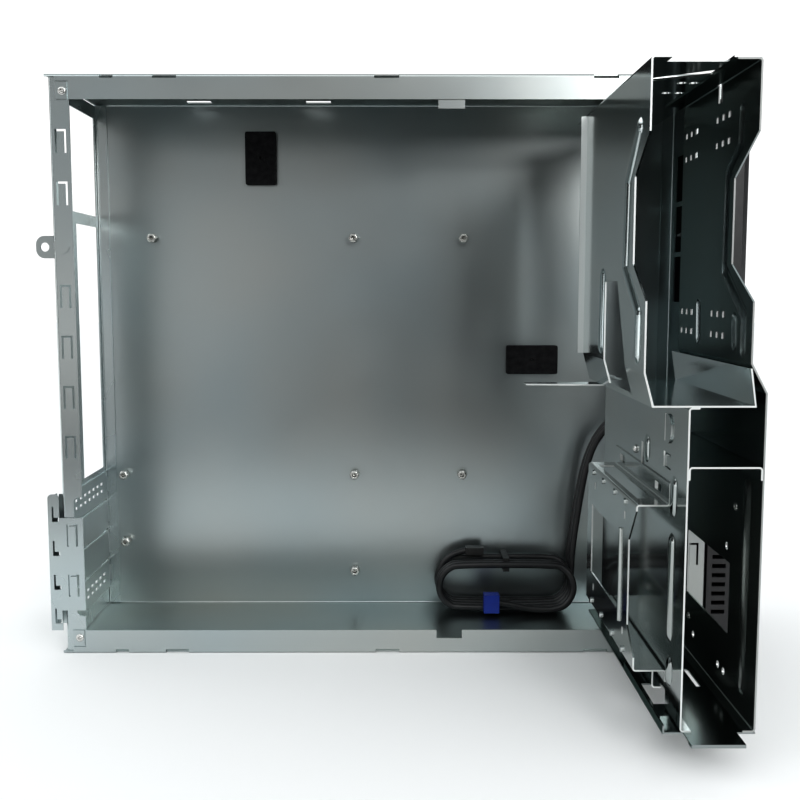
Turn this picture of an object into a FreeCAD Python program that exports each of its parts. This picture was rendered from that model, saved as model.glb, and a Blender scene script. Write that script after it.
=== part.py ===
"""Micro-tower pc case with its side cover off and its drive cage swung out.

Millimetres. +X is the front of the case, +Z is up, and the open side faces -Y. The origin is the
middle of the underside of the chassis. Sheet-metal pieces are folded profiles with cut-outs.
"""
import FreeCAD
import Part
import Sketcher
import math
import os

doc = FreeCAD.newDocument("micro_tower_case")
sheet = doc.addObject("Spreadsheet::Sheet", "Sizes")
parts = {}


class Size:
    """A length together with the formula that gives it from the size sheet."""

    def __init__(self, value, formula):
        self.value = value
        self.formula = formula

    def __add__(self, other):
        return combine(self, "+", other, self.value + as_size(other).value)

    def __radd__(self, other):
        return as_size(other) + self

    def __sub__(self, other):
        return combine(self, "-", other, self.value - as_size(other).value)

    def __rsub__(self, other):
        return as_size(other) - self

    def __mul__(self, other):
        return combine(self, "*", other, self.value * as_size(other).value)

    def __rmul__(self, other):
        return as_size(other) * self

    def __truediv__(self, other):
        return combine(self, "/", other, self.value / as_size(other).value)

    def __neg__(self):
        return 0 - self


def as_size(length):
    if isinstance(length, Size):
        return length
    return Size(float(length), repr(float(length)))


def combine(left, sign, right, value):
    return Size(value, f"({left.formula} {sign} {as_size(right).formula})")


def size(name, value):
    """Write one driving dimension in the sheet and return it."""
    row = len(sheet.getUsedCells()) // 2 + 1
    sheet.set(f"A{row}", name)
    sheet.set(f"B{row}", str(value))
    sheet.setAlias(f"B{row}", name)
    return Size(float(value), "Sizes." + name)


# Chassis
case_depth = size("case_depth", 379)
case_height = size("case_height", 334)
case_width = size("case_width", 98.8)
steel = size("steel", 0.8)
bend = size("bend", 0.8)
lip_height = size("lip_height", 14)
rear_step = size("rear_step", 2)
seat_height = size("seat_height", 10)
rear_bar = size("rear_bar", 11.5)
slot_bar = size("slot_bar", 6.6)
front_lip = size("front_lip", 14)
tray_lip = size("tray_lip", 8)
lip_ledge = size("lip_ledge", 4.4)
lip_slit = size("lip_slit", 0.8)
fit = size("fit", 0.3)

# Rear openings and expansion slots
opening_inset = size("opening_inset", 4.5)
port_width = size("port_width", 44.5)
port_height = size("port_height", 158.8)
port_bottom = size("port_bottom", 95.5)
strut = size("strut", 7)
supply_width = size("supply_width", 78)
supply_margin = size("supply_margin", 10)
slot_count = 4
slot_pitch = size("slot_pitch", 20.32)
slot_first = size("slot_first", 22.3)
slot_gap = size("slot_gap", 12.4)
slot_length = size("slot_length", 81)
slot_cover_width = size("slot_cover_width", 18.4)
slot_tab = size("slot_tab", 5)
lock_z = size("lock_z", 238.5)
finger_pitch = size("finger_pitch", 29)

# Board stand-offs, on the hole grid of a micro board
standoff_height = size("standoff_height", 6.5)
standoff_across = size("standoff_across", 6.4)
standoff_bore = size("standoff_bore", 1.4)
standoff_depth = size("standoff_depth", 5.5)
board_x = size("board_x", 13.7)
board_z = size("board_z", 90.1)
board_row = size("board_row", 157.48)
board_lower_row = size("board_lower_row", 45.72)
board_lowest_row = size("board_lowest_row", 66.04)
board_middle = size("board_middle", 154.94)
board_far = size("board_far", 72.39)
board_corner = size("board_corner", 22.86)

# Drive cage
pivot_from_front = size("pivot_from_front", 42)
pivot_from_tray = size("pivot_from_tray", 75.5)
pivot_radius = size("pivot_radius", 3)
cage_reach = size("cage_reach", 170.5)
cage_tail = size("cage_tail", 11)
cage_ceiling = size("cage_ceiling", 22)
cage_floor_height = size("cage_floor_height", 15.2)
bay_width = size("bay_width", 147.4)
bay_gap = size("bay_gap", 45.6)
bay_offset = size("bay_offset", 32.1)
bay_start = size("bay_start", 22.5)
cover_start = size("cover_start", 52.5)
cover_bulge = size("cover_bulge", 7)
notch_depth = size("notch_depth", 31.2)
left_notch_depth = size("left_notch_depth", 26.2)
notch_flat = size("notch_flat", 38.8)
notch_slope = size("notch_slope", 17)
notch_height = size("notch_height", 82)
wall_flare = size("wall_flare", 4)
flare_height = size("flare_height", 15)
shelf_lip = size("shelf_lip", 17)
step_height = size("step_height", 13)
divider_drop = size("divider_drop", 27)
partition_offset = size("partition_offset", 12.8)
floor_offset = size("floor_offset", 20.5)
fold = size("fold", 5)
bracket_depth = size("bracket_depth", 16)
bracket_bottom = size("bracket_bottom", 34.7)
bracket_height = size("bracket_height", 80)
bracket_start = size("bracket_start", 24.6)
bracket_end = size("bracket_end", 145)
flange_width = size("flange_width", 3.4)
leg_length = size("leg_length", 69.5)
bead_height = size("bead_height", 1.6)
bead_width = size("bead_width", 8.5)
pad_thickness = size("pad_thickness", 5)

# Bezel
bezel_overhang = size("bezel_overhang", 1)
bezel_side = size("bezel_side", 14)
bezel_nose = size("bezel_nose", 14)
bezel_wall = size("bezel_wall", 2.5)
cover_flange = size("cover_flange", 1.5)
cover_rim = size("cover_rim", 2.5)
button_radius = size("button_radius", 7)
button_travel = size("button_travel", 2)
small_button_radius = size("small_button_radius", 3)
light_radius = size("light_radius", 1.5)
board_thickness = size("board_thickness", 1.6)

# Planes that the pieces share
half_width = case_width / 2
tray_y = half_width - steel
lip_out = -half_width
lip_in = lip_out + steel
rear_x = -case_depth / 2
front_x = case_depth / 2
seat_x = rear_x + rear_step
bar_x = seat_x + rear_bar
step_y = lip_in + seat_height
outer_bend = bend + steel
pivot_x = front_x - pivot_from_front
pivot_y = tray_y - pivot_from_tray
cage_top = case_height - cage_ceiling
cage_floor = cage_floor_height
shelf_z = cage_top - bay_width - 2 * steel
divider_z = shelf_z - divider_drop
bay_left = -bay_offset
bay_right = bay_gap - bay_offset
lower_right = bay_right + cover_bulge
partition = -partition_offset
bracket_left = partition - bracket_depth
bracket_top = bracket_bottom + bracket_height

AXES = {"x": FreeCAD.Vector(1, 0, 0), "y": FreeCAD.Vector(0, 1, 0), "z": FreeCAD.Vector(0, 0, 1)}
SKETCH_TURNS = {
    "x": FreeCAD.Rotation(FreeCAD.Vector(1, 1, 1), 120),
    "y": FreeCAD.Rotation(FreeCAD.Vector(1, 0, 0), 90),
    "z": FreeCAD.Rotation(),
}
ROD_TURNS = {
    "x": FreeCAD.Rotation(FreeCAD.Vector(0, 1, 0), 90),
    "y": FreeCAD.Rotation(FreeCAD.Vector(1, 0, 0), -90),
    "z": FreeCAD.Rotation(),
}


def along(low, high):
    """Limits in X, measured forward from the rear wall."""
    return (rear_x + low, rear_x + high)


def off_tray(low, high):
    """Limits in Y, measured from the inner face of the tray towards the open side."""
    return (tray_y - high, tray_y - low)


def cage_x(low, high):
    """Limits in X, measured from the pivot of the drive cage."""
    return (pivot_x + low, pivot_x + high)


def cage_y(low, high):
    """Limits in Y, measured from the pivot of the drive cage towards the open side."""
    return (pivot_y - high, pivot_y - low)


def around(middle, width):
    return (middle - width / 2, middle + width / 2)


def ordered(first, second):
    """Two limits with the lower one first."""
    first, second = as_size(first), as_size(second)
    return (first, second) if first.value < second.value else (second, first)


def bind(item, prop, length):
    item.setExpression(prop, as_size(length).formula)


def place(item, lengths):
    for axis, length in lengths.items():
        bind(item, "Placement.Base." + axis, length)


def box(x, y, z):
    """A block between two limits on each axis."""
    item = doc.addObject("Part::Box", "block")
    for prop, limits in (("Length", x), ("Width", y), ("Height", z)):
        bind(item, prop, as_size(limits[1]) - limits[0])
    place(item, {"x": x[0], "y": y[0], "z": z[0]})
    return item


def rod(axis, limits, centre, radius):
    """A round bar along one axis, with its centre given on the other two."""
    item = doc.addObject("Part::Cylinder", "rod")
    item.Placement = FreeCAD.Placement(FreeCAD.Vector(), ROD_TURNS[axis])
    bind(item, "Radius", radius)
    bind(item, "Height", as_size(limits[1]) - limits[0])
    others = [name for name in "xyz" if name != axis]
    place(item, {axis: limits[0], others[0]: centre[0], others[1]: centre[1]})
    return item


def sign(number):
    return (number > 1e-9) - (number < -1e-9)


def rounded(corners):
    """Split each corner that has a radius into the two ends of its arc."""
    points = []
    for index, corner in enumerate(corners):
        x, y = as_size(corner[0]), as_size(corner[1])
        if len(corner) == 2:
            points.append((x, y, None))
            continue
        radius = as_size(corner[2])
        before = corners[index - 1]
        after = corners[(index + 1) % len(corners)]
        back = (sign(as_size(before[0]).value - x.value), sign(as_size(before[1]).value - y.value))
        ahead = (sign(as_size(after[0]).value - x.value), sign(as_size(after[1]).value - y.value))
        points.append((x + back[0] * radius, y + back[1] * radius, radius))
        points.append((x + ahead[0] * radius, y + ahead[1] * radius, None))
    return points


def arc_between(start, end, radius, left_turn):
    """The short arc from start to end, and whether it runs forwards."""
    chord = end - start
    middle = (start + end) * 0.5
    reach = math.sqrt(max(radius * radius - chord.Length * chord.Length / 4, 0))
    across = FreeCAD.Vector(-chord.y, chord.x, 0).normalize()
    centre = middle + across * (reach if left_turn else -reach)
    first, last = (start, end) if left_turn else (end, start)
    angles = [math.atan2(p.y - centre.y, p.x - centre.x) for p in (first, last)]
    circle = Part.Circle(centre, FreeCAD.Vector(0, 0, 1), radius)
    return Part.ArcOfCircle(circle, angles[0], angles[1])


def draw(sketch, corners, bulge=None):
    """Draw a closed outline whose points and radii follow the size sheet.

    A corner with a third value is rounded to that radius. The bulge names an edge, by the corner
    that it leaves, and the radius of the arc that replaces it.
    """
    points = rounded(corners)
    if bulge:
        points[bulge[0]] = (*points[bulge[0]][:2], bulge[1])
    spots = [FreeCAD.Vector(x.value, y.value, 0) for x, y, radius in points]
    count = len(points)
    starts, ends = [], []
    for index, (x, y, radius) in enumerate(points):
        start, end = spots[index], spots[(index + 1) % count]
        if radius is None:
            sketch.addGeometry(Part.LineSegment(start, end))
            forwards = True
        else:
            before = start - spots[index - 1]
            turn = before.x * (end - start).y - before.y * (end - start).x
            forwards = turn > 0
            sketch.addGeometry(arc_between(start, end, radius.value, forwards))
        starts.append(1 if forwards else 2)
        ends.append(2 if forwards else 1)
    for index in range(count):
        after = (index + 1) % count
        sketch.addConstraint(
            Sketcher.Constraint("Coincident", index, ends[index], after, starts[after]))
    for index, (x, y, radius) in enumerate(points):
        for kind, length in (("DistanceX", x), ("DistanceY", y)):
            number = sketch.addConstraint(
                Sketcher.Constraint(kind, index, starts[index], length.value))
            bind(sketch, f"Constraints[{number}]", length)
        if radius is not None:
            number = sketch.addConstraint(Sketcher.Constraint("Radius", index, radius.value))
            bind(sketch, f"Constraints[{number}]", radius)


def prism(axis, limits, corners, bulge=None):
    """An outline, given on the other two axes, drawn out along one axis."""
    sketch = doc.addObject("Sketcher::SketchObject", "outline")
    sketch.Placement = FreeCAD.Placement(FreeCAD.Vector(), SKETCH_TURNS[axis])
    place(sketch, {axis: limits[0]})
    draw(sketch, corners, bulge)
    item = doc.addObject("Part::Extrusion", "prism")
    item.Base = sketch
    item.DirMode = "Custom"
    item.Dir = AXES[axis]
    item.Solid = True
    bind(item, "LengthFwd", as_size(limits[1]) - limits[0])
    return item


def join(items):
    item = doc.addObject("Part::MultiFuse", "joined")
    item.Shapes = items
    return item


def group(items):
    item = doc.addObject("Part::Compound", "group")
    item.Links = items
    return item


def carve(base, tools):
    item = doc.addObject("Part::Cut", "carved")
    item.Base = base
    item.Tool = tools[0] if len(tools) == 1 else group(tools)
    return item


def overlap(first, second):
    item = doc.addObject("Part::Common", "shared")
    item.Base = first
    item.Tool = second
    return item


def part(name, item):
    item.Label = name
    parts[name] = item


def ball(point, depth, radius):
    item = doc.addObject("Part::Sphere", "ball")
    bind(item, "Radius", radius)
    place(item, {"x": depth, "y": point[0], "z": point[1]})
    return item


def slant(start, end, depth, radius):
    """A round bar between two points, given in Y and Z, of a plane across X."""
    across, rise = end[0] - start[0], end[1] - start[1]
    item = doc.addObject("Part::Cylinder", "bar")
    item.Placement = FreeCAD.Placement(FreeCAD.Vector(), FreeCAD.Rotation(AXES["x"], 1))
    bind(item, "Radius", radius)
    item.setExpression("Height", f"sqrt({across.formula}^2 + {rise.formula}^2)")
    item.setExpression("Placement.Rotation.Angle", f"atan2(-{across.formula}; {rise.formula})")
    place(item, {"x": depth, "y": start[0], "z": start[1]})
    return item


def bead(surface, side, base, route):
    """Rounded rib pressed out of a cage wall towards one side, and the groove behind it.

    The route gives each point's reach from the pivot and its height above the base.
    """
    points = [(pivot_y - reach, base + height) for reach, height in route]
    radius = (bead_width * bead_width / 4 + bead_height * bead_height) / (2 * bead_height)
    depth = surface - side * (radius - bead_height)
    limits = []
    for axis in (0, 1):
        values = sorted((point[axis] for point in points), key=lambda length: length.value)
        limits.append((values[0] - bead_width, values[-1] + bead_width))

    def stroke(thickness, behind):
        bars = [slant(start, end, depth, thickness) for start, end in zip(points, points[1:])]
        balls = [ball(point, depth, thickness) for point in points]
        skin = ordered(surface - side * behind, surface + side * 2 * bead_height)
        return overlap(join(bars + balls), box(skin, *limits))

    return stroke(radius, steel / 4), stroke(radius - steel, steel + bend)


def press(body, beads, cuts):
    """Press beads into a folded sheet and cut its holes."""
    ribs = [rib for rib, groove in beads]
    grooves = [groove for rib, groove in beads]
    return carve(join([body] + ribs), cuts + grooves)


def finger_slits(x, y, z, width, height):
    """The three cuts that free a spring finger in a wall across Y, its tip upwards."""
    slit = 1.2
    left, right = around(x, width)
    bottom, top = around(z, height)
    return [
        box((left - slit, left), y, (bottom, top)),
        box((right, right + slit), y, (bottom, top)),
        box((left - slit, right + slit), y, (top, top + slit)),
    ]


def chassis_pan():
    """Tray, top wall, bottom wall and side lips, folded from one sheet."""
    top = case_height
    body = prism("x", (rear_x, front_x), [
        (half_width, 0, outer_bend),
        (half_width, top, outer_bend),
        (lip_out, top, outer_bend),
        (lip_out, top - lip_height),
        (lip_in, top - lip_height),
        (lip_in, top - steel, bend),
        (tray_y, top - steel, bend),
        (tray_y, steel, bend),
        (lip_in, steel, bend),
        (lip_in, lip_height),
        (lip_out, lip_height),
        (lip_out, 0, outer_bend),
    ])
    catch = along(220.5, 235.5)
    hook = box(catch, (lip_in, lip_in + steel), (top - lip_height - 5, top - lip_height + 4))
    body = join([body, hook])
    lip = (lip_out - 1, lip_in + bend)
    cuts = [box(catch, lip, (lip_height - 5, lip_height + 1))]
    for free, ledge, edge in ((top - lip_height - 1, top - lip_ledge, top - outer_bend),
                              (lip_height + 1, lip_ledge, outer_bend)):
        cuts += [
            box((rear_x - 1, seat_x + 4), lip, ordered(free, edge)),
            box((seat_x + 4, bar_x), lip, around(ledge, lip_slit)),
            box((bar_x - lip_slit, bar_x), lip, ordered(free, ledge)),
        ]
    for start, width in ((31, 7.5), (60.5, 13.5), (184.5, 14), (307.5, 14)):
        cuts += [box(along(start, start + width), (lip_out - 1, lip_out + 2.2), limits)
                 for limits in ((top - 2.4, top + 1), (-1, 2.4))]
    for start in (62.5, 139):
        cuts.append(box(along(start, start + 16), off_tray(7, 16), (top - 2, top + 1)))
    part("chassis_pan", carve(body, cuts))


def rear_panel():
    """Rear wall with its openings, its tray lip and the stepped bar that the side cover meets."""
    inner_x = rear_x + steel
    bar = (lip_in - 1, lip_in + 1)
    body = prism("z", (steel + bend, case_height - steel - bend), [
        (rear_x + tray_lip, tray_y),
        (rear_x, tray_y, outer_bend),
        (rear_x, step_y, bend),
        (seat_x, step_y, bend),
        (seat_x, lip_in, outer_bend),
        (bar_x, lip_in),
        (bar_x, lip_in + steel),
        (seat_x + steel, lip_in + steel, bend),
        (seat_x + steel, step_y + steel, bend),
        (inner_x, step_y + steel, bend),
        (inner_x, tray_y - steel, bend),
        (rear_x + tray_lip, tray_y - steel),
    ])
    boss = rod("y", (lip_in - 0.5, lip_in), (seat_x + 4.6, lock_z), 4.5)
    through = (rear_x - 1, inner_x + 0.1)
    port_top = port_bottom + port_height
    slots_top = slot_first + (slot_count - 0.5) * slot_pitch
    cuts = [
        box(through, off_tray(opening_inset, opening_inset + port_width), (port_bottom, port_top)),
        box(through, off_tray(opening_inset, opening_inset + supply_width),
            (port_top + strut, case_height - supply_margin)),
        prism("y", bar, [
            (bar_x + 1, slot_first),
            (seat_x + slot_bar, slot_first, 3),
            (seat_x + slot_bar, slots_top, 3),
            (bar_x + 1, slots_top),
        ]),
    ]
    for index in range(slot_count):
        middle = slot_first + index * slot_pitch
        cuts += [
            box(through, off_tray(opening_inset, slot_length), around(middle, slot_gap)),
            box(through, off_tray(slot_length - outer_bend, slot_length + steel + fit),
                around(middle, slot_cover_width + 2 * fit)),
            box((rear_x - 1, rear_x + 3.2), off_tray(-0.1, 3), around(middle, as_size(11))),
        ]
    for step in (-2, -1, 1, 2, 3, 4):
        cuts += finger_slits(rear_x + 8, bar, lock_z - step * finger_pitch, 4, 12)
    part("rear_panel", carve(join([body, boss]), cuts))


def front_panel():
    """Front wall with the drive openings, its vents, its tray lip and the front lip."""
    limits = (steel + bend, case_height - steel - bend)
    inner_x = front_x - steel
    body = prism("z", limits, [
        (front_x, tray_y, outer_bend),
        (front_x - tray_lip, tray_y),
        (front_x - tray_lip, tray_y - steel),
        (inner_x, tray_y - steel, bend),
        (inner_x, lip_in + steel, bend),
        (front_x - front_lip, lip_in + steel),
        (front_x - front_lip, lip_in),
        (front_x, lip_in, outer_bend),
    ])
    through = (inner_x - 1, front_x + 1)
    bay = off_tray(pivot_from_tray - bay_offset + 1, pivot_from_tray + bay_right - 1)
    small_bay = off_tray(pivot_from_tray - partition_offset + 3, pivot_from_tray + bay_right + 3)
    cuts = [
        box(through, bay, (shelf_z + 3, cage_top - 2)),
        box(through, small_bay, (cage_floor + 9, divider_z - 4)),
        box(through, off_tray(10, 36), (128, 152)),
    ]
    for index in range(3):
        bottom = case_height - 64 - index * 32
        cuts.append(box(through, off_tray(10, 40), (bottom, bottom + 29)))
    for height in (300, 250, 200, 150, 59):
        cuts += finger_slits(front_x - 8, (lip_in - 1, lip_in + 1), as_size(height), 4, 12)
    part("front_panel", carve(body, cuts))


def slot_cover(index):
    """A plate over one expansion slot, its tab bent out through the rear wall."""
    middle = slot_first + index * slot_pitch
    plate_x = rear_x + steel
    body = prism("z", around(middle, slot_cover_width), [
        (plate_x + steel, tray_y - 2 * steel - fit),
        (plate_x + steel, tray_y - slot_length - steel, outer_bend),
        (rear_x - slot_tab, tray_y - slot_length - steel),
        (rear_x - slot_tab, tray_y - slot_length),
        (plate_x, tray_y - slot_length, bend),
        (plate_x, tray_y - 2 * steel - fit),
    ])
    name = f"slot_cover_{index + 1}"
    if 0 < index < slot_count - 1:
        part(name, body)
        return
    holes = []
    for row in (-2.4, 2.4):
        for step in range(7):
            start = 12 + step * 9
            holes.append(box((plate_x - 1, plate_x + steel + 1), off_tray(start, start + 5),
                             around(middle + row, as_size(2))))
    part(name, carve(body, holes))


def slot_clamp():
    """Clip-on plate that holds the slot covers, with four lances and two spring fingers."""
    near, far = lip_in - fit - steel, lip_in - fit
    slots_low = slot_first - slot_pitch / 2 + 2
    slots_high = slots_low + slot_count * slot_pitch
    outer, strip, inner = rear_x - 6.3, rear_x + 0.3, bar_x + 0.5
    plate = prism("y", (near, far), [
        (outer, slots_low),
        (strip, slots_low),
        (strip, slots_low + 12),
        (inner, slots_low + 12),
        (inner, slots_high - 14),
        (strip, slots_high - 14),
        (strip, slots_high, 3 * steel),
        (outer, slots_high, 3 * steel),
    ])
    rim = box((outer, outer + steel), (far, tray_y - slot_length - 2 * steel),
              (slots_low, slots_high - 3 * steel))
    cuts = []
    for index in range(slot_count):
        foot = slot_first + index * slot_pitch - 4
        cuts += [
            box(along(-4, 0), (near - 1, far + 1), (foot, foot + 2.5)),
            box(along(-4, -3), (near - 1, far + 1), (foot, foot + 9)),
        ]
    for height in (40.5, 70.5):
        cuts += finger_slits(rear_x + 7.5, (near - 1, far + 1), as_size(height), 4, 12)
    part("slot_clamp", carve(join([plate, rim]), cuts))


def standoffs():
    """Hexagonal board stand-offs with a threaded hole."""
    left, right = board_x, board_x + board_middle
    far = right + board_far
    upper = board_z + board_row
    spots = [
        (board_x + board_corner, upper), (right, upper), (far, upper),
        (left, board_z), (right, board_z), (far, board_z),
        (left, board_z - board_lower_row), (right, board_z - board_lowest_row),
    ]
    tip = tray_y - standoff_height
    solids = []
    for x, z in spots:
        hexagon = doc.addObject("Part::Prism", "hexagon")
        hexagon.Polygon = 6
        hexagon.Placement = FreeCAD.Placement(FreeCAD.Vector(), ROD_TURNS["y"])
        bind(hexagon, "Circumradius", standoff_across / 2)
        bind(hexagon, "Height", standoff_height)
        place(hexagon, {"x": rear_x + x, "y": tip, "z": z})
        bore = rod("y", (tip, tip + standoff_depth), (rear_x + x, z), standoff_bore)
        solids.append(carve(hexagon, [bore]))
    part("board_standoffs", group(solids))


def foam_pads():
    """Two soft pads on the tray, one of them under the foot of the support leg."""
    part("upper_foam_pad", box(along(98.5, 118.5), off_tray(0, pad_thickness), (282, 316)))
    part("lower_foam_pad", box(around(pivot_x - 50, as_size(34)), off_tray(0, pad_thickness),
                               (shelf_z - 5, shelf_z + 14)))


def lock_loop():
    """Padlock eye on the rear wall."""
    thickness = 1.5
    reach = 83.5
    radius = 5
    low, high = around(lock_z, as_size(13))
    level = off_tray(reach, reach + thickness)
    eye = prism("y", level, [
        (rear_x, low), (rear_x, high), (rear_x - 12, high, radius), (rear_x - 12, low, radius),
    ])
    foot = box((rear_x - thickness, rear_x), off_tray(64, reach), (low, high))
    hole = rod("y", (level[0] - 1, level[1] + 1), (rear_x - 7, lock_z), 2.6)
    part("lock_loop", carve(join([eye, foot]), [hole]))


def corner_rivets():
    """Rivets that hold the ends of the side lips to the rear and front panels."""
    heads = []
    for x in (bar_x - 3.5, front_x - 7):
        for z in (lip_height - 4.5, case_height - lip_height + 4.5):
            heads.append(rod("y", (lip_out - 0.9, lip_out), (x, z), 2.4))
    part("corner_rivets", group(heads))


def pivot_bracket(name, wall, flange, pin):
    """C-shaped bracket between a chassis wall and the level of one cage pivot, with its pin."""
    low, high = sorted((wall, flange), key=lambda level: level[0].value)
    web = pivot_x + 14
    body = prism("y", around(pivot_y, as_size(24)), [
        (pivot_x - 12, low[0]),
        (web, low[0], outer_bend),
        (web, high[1], outer_bend),
        (pivot_x - 12, high[1]),
        (pivot_x - 12, high[0]),
        (web - steel, high[0], bend),
        (web - steel, low[1], bend),
        (pivot_x - 12, low[1]),
    ])
    hole = rod("z", (flange[0] - 1, flange[1] + 1), (pivot_x, pivot_y), pivot_radius)
    part(name + "_pivot_bracket", carve(body, [hole]))
    part(name + "_pivot_pin", rod("z", pin, (pivot_x, pivot_y), pivot_radius))


def pivot_hardware():
    clear = 2 * fit
    top_flange = (cage_top + clear, cage_top + clear + steel)
    pivot_bracket("upper", (case_height - 2 * steel, case_height - steel), top_flange,
                  (cage_top - 4, top_flange[1] + 1))
    low_flange = (cage_floor - clear - steel, cage_floor - clear)
    pivot_bracket("lower", (steel, 2 * steel), low_flange,
                  (low_flange[0] - 1, cage_floor + 4))


def cage_notch(x, depth):
    """Tool for the tapered notch in the open end of one wall of the optical bay."""
    middle = shelf_z + notch_height
    near = pivot_y - cage_reach
    half = notch_flat / 2
    return prism("x", x, [
        (near + depth, middle - half),
        (near - 4, middle - half - notch_slope - 2),
        (near - 4, middle + half + notch_slope + 2),
        (near + depth, middle + half),
    ])


def pivot_hole(z):
    return rod("z", (z - 1, z + steel + 1), (pivot_x, pivot_y), pivot_radius + fit)


def bay_frame():
    """Optical bay: ceiling, flared left wall and lipped shelf folded from one sheet."""
    left = pivot_x + bay_left
    skin = left - steel
    right = pivot_x + bay_right
    shelf_end = right + cover_bulge / 2 - fit
    flare_top = shelf_z + flare_height
    body = prism("y", cage_y(-cage_tail, cage_reach), [
        (right + steel, cage_top),
        (skin, cage_top, outer_bend),
        (skin, flare_top),
        (skin + wall_flare, shelf_z),
        (shelf_end, shelf_z),
        (right + steel, shelf_z + shelf_lip),
        (right, shelf_z + shelf_lip),
        (shelf_end - steel, shelf_z + steel),
        (left + wall_flare, shelf_z + steel),
        (left, flare_top + steel / 4),
        (left, cage_top - steel, bend),
        (right + steel, cage_top - steel),
    ])
    flange = box((skin - flange_width, skin), cage_y(bay_start, bay_start + steel),
                 (flare_top, cage_top - outer_bend))
    window_far = pivot_y - 82
    window_middle = pivot_y - 112
    window_near = pivot_y - 133
    window_bottom = shelf_z + 3
    window_top = shelf_z + 55
    slot_left = pivot_x - 22
    slot_right = pivot_x + 3
    beads = [bead(skin, -1, shelf_z, route) for route in (
        ((153, 122), (131, 101), (128.5, 60), (157, 40), (156.5, 22)),
        ((75.5, 58), (74.5, 22)),
    )]
    ceiling = (cage_top - 2, cage_top + 1)
    cuts = [
        box((skin - flange_width - 1, shelf_end + 1), cage_y(-cage_tail - 1, bay_start),
            (shelf_z - 1, cage_top - steel)),
        box((left + wall_flare + outer_bend, shelf_end + 1), cage_y(bay_start, 40),
            (shelf_z - 1, shelf_z + shelf_lip + 1)),
        cage_notch((skin - bead_height - 1, left + 1), left_notch_depth),
        prism("x", (skin - 1, left + wall_flare + 1), [
            (window_far, window_bottom),
            (window_far, window_top),
            (window_middle, window_top),
            (window_near, flare_top),
            (window_near, window_bottom),
        ]),
        prism("z", ceiling, [
            (slot_left, pivot_y - 119),
            (slot_left, pivot_y - 126),
            (slot_right, pivot_y - 145),
            (slot_right, pivot_y - 134),
        ]),
        box(cage_x(-24, 2), cage_y(cage_reach - 9, cage_reach + 1), ceiling),
        pivot_hole(cage_top - steel),
    ]
    screw_holes = ((-4.9, 114.8), (0.7, 114.8), (-6, 89.5), (0.4, 89.5))
    for x, reach in screw_holes:
        cuts.append(rod("z", ceiling, (pivot_x + x, pivot_y - reach), 2.2))
    part("optical_bay_frame", press(join([body, flange]), beads, cuts))


# Slit through the floor of the cage and the foot of the side cover
floor_slit = (cage_x(10.3, 12.7), cage_y(92, 116))


def bay_cover():
    """Outer wall of the cage, stepped out below the optical bay."""
    top = cage_top - steel
    bottom = cage_floor + steel
    right = pivot_x + bay_right
    low_right = pivot_x + lower_right
    step_top = shelf_z + shelf_lip + 2
    step_bottom = step_top - step_height
    body = prism("y", cage_y(cover_start, cage_reach), [
        (right - 2 * fold, top - steel),
        (right, top - steel, bend),
        (right, step_top),
        (low_right, step_bottom),
        (low_right, bottom + steel, bend),
        (low_right - fold, bottom + steel),
        (low_right - fold, bottom),
        (low_right + steel, bottom, outer_bend),
        (low_right + steel, step_bottom + steel / 4),
        (right + steel, step_top + steel / 4),
        (right + steel, top, outer_bend),
        (right - 2 * fold, top),
    ])
    through = (right - 1, low_right + steel + 1)
    beads = [bead(right + steel, 1, shelf_z, route) for route in (
        ((148, 130), (147, 114), (130, 104), (129, 60), (159, 40), (159, 25)),
        ((89, 43), (90, 27)),
        ((146, 37), (147, 27)),
    )]
    beads.append(bead(low_right, -1, cage_floor, ((152, 108.8), (152, 14.8))))
    cuts = [
        cage_notch(through, notch_depth),
        box(through, cage_y(cover_start + 6, 130), (48, 83)),
        box(through, cage_y(112, 118), (cage_top - 10, cage_top + 1)),
        box(*floor_slit, (bottom - 1, bottom + steel + 1)),
    ]
    screw_holes = ((73, 28.5), (116.4, 27.8), (125.3, 27.5), (124.6, 90.3))
    for reach, z in screw_holes:
        cuts.append(rod("x", through, (pivot_y - reach, z), 2))
    lance_columns = (57, 66, 75, 110, 119, 128)
    lance_rows = (28, 38, 118, 130)
    for column in lance_columns:
        for row in lance_rows:
            cuts.append(box(through, cage_y(column, column + 4), (shelf_z + row, shelf_z + row + 3)))
    part("cage_side_cover", press(body, beads, cuts))


# Square lances that pass through the lip of the drive bracket and the partition behind it
lip_lances = [(cage_y(38, 50), (118, 122)), (cage_y(118, 130), (117.5, 121.5))]


def lower_partition():
    """Inner wall of the lower bay, lipped to the floor and the shelf."""
    left = pivot_x + partition
    bottom = cage_floor + steel
    body = prism("y", cage_y(-cage_tail + 0.5, cage_reach), [
        (left, bottom, outer_bend),
        (left + fold, bottom),
        (left + fold, bottom + steel),
        (left + steel, bottom + steel, bend),
        (left + steel, shelf_z - steel, bend),
        (left + fold, shelf_z - steel),
        (left + fold, shelf_z),
        (left, shelf_z, outer_bend),
    ])
    through = (left - 2, left + steel + 1)
    beads = [bead(left, -1, cage_floor, route) for route in (
        ((150, 109.8), (149.5, 98.8)),
        ((148.5, 82.8), (148, 38.8)),
        ((150, 24.8), (150, 18.8)),
        ((97, 121.8), (97, 115.8)),
    )]
    cuts = [
        box(through, cage_y(130, 143), (130.5, 138)),
        box(through, cage_y(85, 90.5), (124, 136)),
        box(through, cage_y(131, 135), (143, 156)),
        *[box(through, reach, z) for reach, z in lip_lances],
        box((left - 1, left + fold + 1), cage_y(118, 144), (bottom - 1, bottom + 10)),
    ]
    knock_out = rod("x", (left - steel, left), (pivot_y - 138, 149.5), 7)
    part("lower_partition", press(join([body, knock_out]), beads, cuts))


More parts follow.
